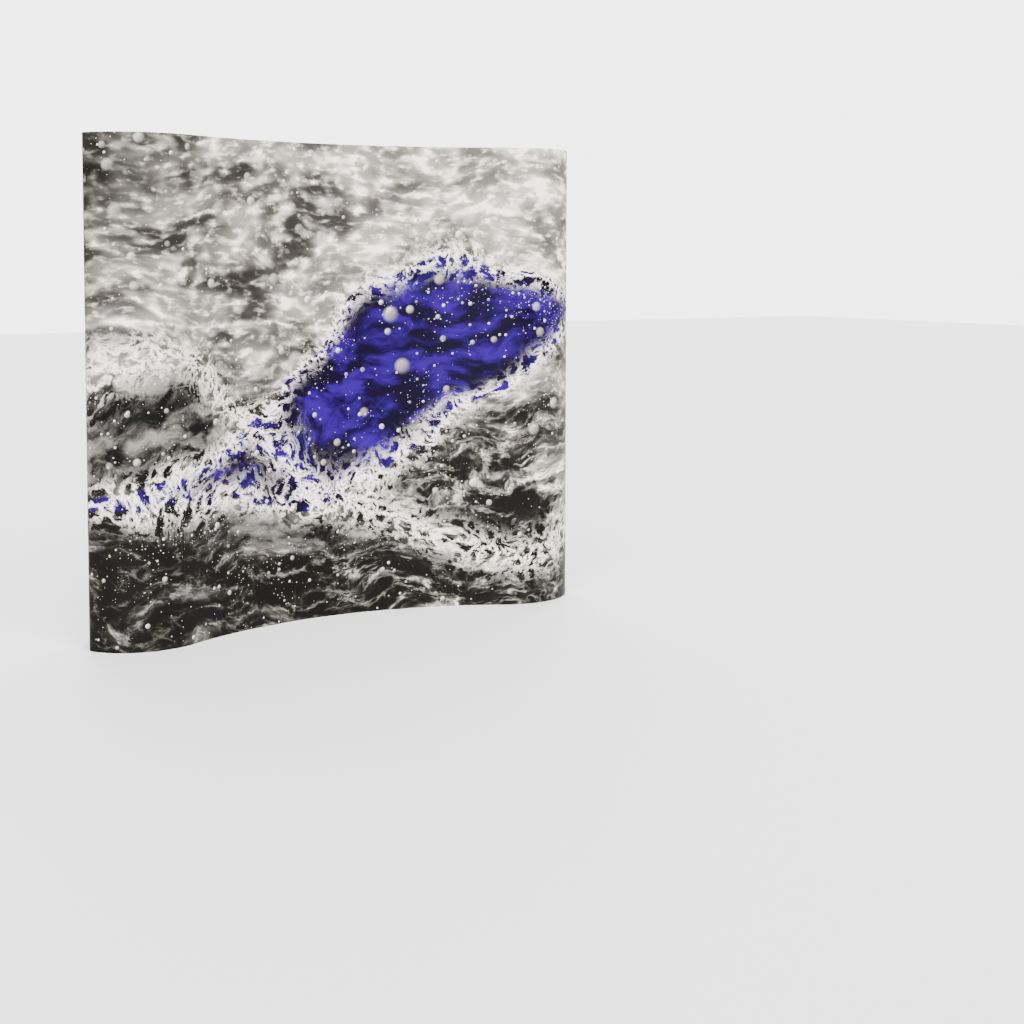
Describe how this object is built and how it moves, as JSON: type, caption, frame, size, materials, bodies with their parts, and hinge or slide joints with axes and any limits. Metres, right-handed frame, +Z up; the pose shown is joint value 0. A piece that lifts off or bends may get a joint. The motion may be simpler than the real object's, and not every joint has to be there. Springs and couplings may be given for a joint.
{
  "type": "pop up display backwall",
  "caption": "Curved free-standing display wall: a folding tube lattice with hubs, locking arms and magnetic bars that carries wrap-around graphic panels.",
  "frame": {"origin": "on the floor, at the centre of the wall's footprint box", "axes": "+Z up, +X along the wall's width to the viewer's right, -Y towards the viewer in front of the printed side"},
  "size_m": [2.4878, 0.5957, 2.26],
  "materials": {
    "hub_plastic": "satin moulded nylon",
    "end_plastic": "satin moulded nylon",
    "bracket_plastic": "satin moulded nylon",
    "tube_aluminium": "natural anodised",
    "bar_aluminium": "natural anodised",
    "steel": "zinc plated",
    "foot_rubber": "matt",
    "magnet_strip": "matt flexible magnet",
    "arm_plastic": "satin moulded nylon",
    "printed_graphic": "low-sheen laminated print",
    "magnetic_tape": "matt magnetic tape"
  },
  "bodies": {
    "frame": {"front_hubs_1": "hub_plastic", "front_hubs_2": "hub_plastic", "front_hubs_3": "hub_plastic", "front_hubs_4": "hub_plastic", "rear_hubs_1": "hub_plastic", "rear_hubs_2": "hub_plastic", "rear_hubs_3": "hub_plastic", "rear_hubs_4": "hub_plastic", "row_tubes_1": "tube_aluminium", "row_tubes_2": "tube_aluminium", "row_tubes_3": "tube_aluminium", "row_tubes_4": "tube_aluminium", "column_tubes_1": "tube_aluminium", "column_tubes_2": "tube_aluminium", "column_tubes_3": "tube_aluminium", "column_tubes_4": "tube_aluminium", "row_tube_ends": "end_plastic", "column_tube_ends": "end_plastic", "cross_rivets": "steel", "hub_pins": "steel", "arm_pins": "steel", "front_bar_brackets": "bracket_plastic", "rear_bar_brackets": "bracket_plastic", "feet": "foot_rubber", "channel_bar_front_1": "bar_aluminium", "channel_bar_front_2": "bar_aluminium", "channel_bar_front_3": "bar_aluminium", "channel_bar_front_4": "bar_aluminium", "channel_bar_rear_left": "bar_aluminium", "channel_bar_rear_right": "bar_aluminium", "bar_magnets": "magnet_strip", "bar_joiners": "steel", "bar_caps": "bracket_plastic"},
    "locking_arm_1_1": {"locking_arm_1_1": "arm_plastic"},
    "locking_arm_1_2": {"locking_arm_1_2": "arm_plastic"},
    "locking_arm_1_3": {"locking_arm_1_3": "arm_plastic"},
    "locking_arm_1_4": {"locking_arm_1_4": "arm_plastic"},
    "locking_arm_2_1": {"locking_arm_2_1": "arm_plastic"},
    "locking_arm_2_2": {"locking_arm_2_2": "arm_plastic"},
    "locking_arm_2_3": {"locking_arm_2_3": "arm_plastic"},
    "locking_arm_2_4": {"locking_arm_2_4": "arm_plastic"},
    "locking_arm_3_1": {"locking_arm_3_1": "arm_plastic"},
    "locking_arm_3_2": {"locking_arm_3_2": "arm_plastic"},
    "locking_arm_3_3": {"locking_arm_3_3": "arm_plastic"},
    "locking_arm_3_4": {"locking_arm_3_4": "arm_plastic"},
    "locking_arm_4_1": {"locking_arm_4_1": "arm_plastic"},
    "locking_arm_4_2": {"locking_arm_4_2": "arm_plastic"},
    "locking_arm_4_3": {"locking_arm_4_3": "arm_plastic"},
    "locking_arm_4_4": {"locking_arm_4_4": "arm_plastic"},
    "mural_center": {"mural_center": "printed_graphic", "mural_center_fixings": "magnetic_tape"},
    "mural_left": {"mural_left": "printed_graphic", "mural_left_fixings": "magnetic_tape"},
    "mural_right": {"mural_right": "printed_graphic", "mural_right_fixings": "magnetic_tape"},
    "end_panel_left": {"end_panel_left": "printed_graphic", "end_panel_left_fixings": "magnetic_tape"},
    "end_panel_right": {"end_panel_right": "printed_graphic", "end_panel_right_fixings": "magnetic_tape"}
  },
  "joints": [
    {"name": "arm_1_1_hinge", "type": "hinge", "parent": "frame", "child": "locking_arm_1_1", "pos_m": [-0.98902, -0.24507, 0.035], "axis": [0.6223, 0.3358, -0.7071], "range_deg": [0, 50]},
    {"name": "arm_1_2_hinge", "type": "hinge", "parent": "frame", "child": "locking_arm_1_2", "pos_m": [-0.98902, -0.24507, 0.76533], "axis": [0.6223, 0.3358, -0.7071], "range_deg": [0, 50]},
    {"name": "arm_1_3_hinge", "type": "hinge", "parent": "frame", "child": "locking_arm_1_3", "pos_m": [-0.98902, -0.24507, 1.49567], "axis": [0.6223, 0.3358, -0.7071], "range_deg": [0, 50]},
    {"name": "arm_1_4_hinge", "type": "hinge", "parent": "frame", "child": "locking_arm_1_4", "pos_m": [-0.98902, -0.24507, 2.226], "axis": [0.6223, 0.3358, -0.7071], "range_deg": [0, 50]},
    {"name": "arm_2_1_hinge", "type": "hinge", "parent": "frame", "child": "locking_arm_2_1", "pos_m": [-0.34196, -0.02353, 0.035], "axis": [0.6975, 0.1161, -0.7071], "range_deg": [0, 50]},
    {"name": "arm_2_2_hinge", "type": "hinge", "parent": "frame", "child": "locking_arm_2_2", "pos_m": [-0.34196, -0.02353, 0.76533], "axis": [0.6975, 0.1161, -0.7071], "range_deg": [0, 50]},
    {"name": "arm_2_3_hinge", "type": "hinge", "parent": "frame", "child": "locking_arm_2_3", "pos_m": [-0.34196, -0.02353, 1.49567], "axis": [0.6975, 0.1161, -0.7071], "range_deg": [0, 50]},
    {"name": "arm_2_4_hinge", "type": "hinge", "parent": "frame", "child": "locking_arm_2_4", "pos_m": [-0.34196, -0.02353, 2.226], "axis": [0.6975, 0.1161, -0.7071], "range_deg": [0, 50]},
    {"name": "arm_3_1_hinge", "type": "hinge", "parent": "frame", "child": "locking_arm_3_1", "pos_m": [0.34196, -0.02353, 0.035], "axis": [0.6975, -0.1161, 0.7071], "range_deg": [0, 50]},
    {"name": "arm_3_2_hinge", "type": "hinge", "parent": "frame", "child": "locking_arm_3_2", "pos_m": [0.34196, -0.02353, 0.76533], "axis": [0.6975, -0.1161, 0.7071], "range_deg": [0, 50]},
    {"name": "arm_3_3_hinge", "type": "hinge", "parent": "frame", "child": "locking_arm_3_3", "pos_m": [0.34196, -0.02353, 1.49567], "axis": [0.6975, -0.1161, 0.7071], "range_deg": [0, 50]},
    {"name": "arm_3_4_hinge", "type": "hinge", "parent": "frame", "child": "locking_arm_3_4", "pos_m": [0.34196, -0.02353, 2.226], "axis": [0.6975, -0.1161, 0.7071], "range_deg": [0, 50]},
    {"name": "arm_4_1_hinge", "type": "hinge", "parent": "frame", "child": "locking_arm_4_1", "pos_m": [0.98902, -0.24507, 0.035], "axis": [0.6223, -0.3358, 0.7071], "range_deg": [0, 50]},
    {"name": "arm_4_2_hinge", "type": "hinge", "parent": "frame", "child": "locking_arm_4_2", "pos_m": [0.98902, -0.24507, 0.76533], "axis": [0.6223, -0.3358, 0.7071], "range_deg": [0, 50]},
    {"name": "arm_4_3_hinge", "type": "hinge", "parent": "frame", "child": "locking_arm_4_3", "pos_m": [0.98902, -0.24507, 1.49567], "axis": [0.6223, -0.3358, 0.7071], "range_deg": [0, 50]},
    {"name": "arm_4_4_hinge", "type": "hinge", "parent": "frame", "child": "locking_arm_4_4", "pos_m": [0.98902, -0.24507, 2.226], "axis": [0.6223, -0.3358, 0.7071], "range_deg": [0, 50]},
    {"name": "mural_center_pull", "type": "slide", "parent": "frame", "child": "mural_center", "axis": [0, -1, 0], "range_m": [0, 0.25]},
    {"name": "mural_left_pull", "type": "slide", "parent": "frame", "child": "mural_left", "axis": [0, -1, 0], "range_m": [0, 0.25]},
    {"name": "mural_right_pull", "type": "slide", "parent": "frame", "child": "mural_right", "axis": [0, -1, 0], "range_m": [0, 0.25]},
    {"name": "end_panel_left_pull", "type": "slide", "parent": "frame", "child": "end_panel_left", "axis": [-0.8801, -0.4749, 0], "range_m": [0, 0.25]},
    {"name": "end_panel_right_pull", "type": "slide", "parent": "frame", "child": "end_panel_right", "axis": [0.8801, -0.4749, 0], "range_m": [0, 0.25]}
  ]
}
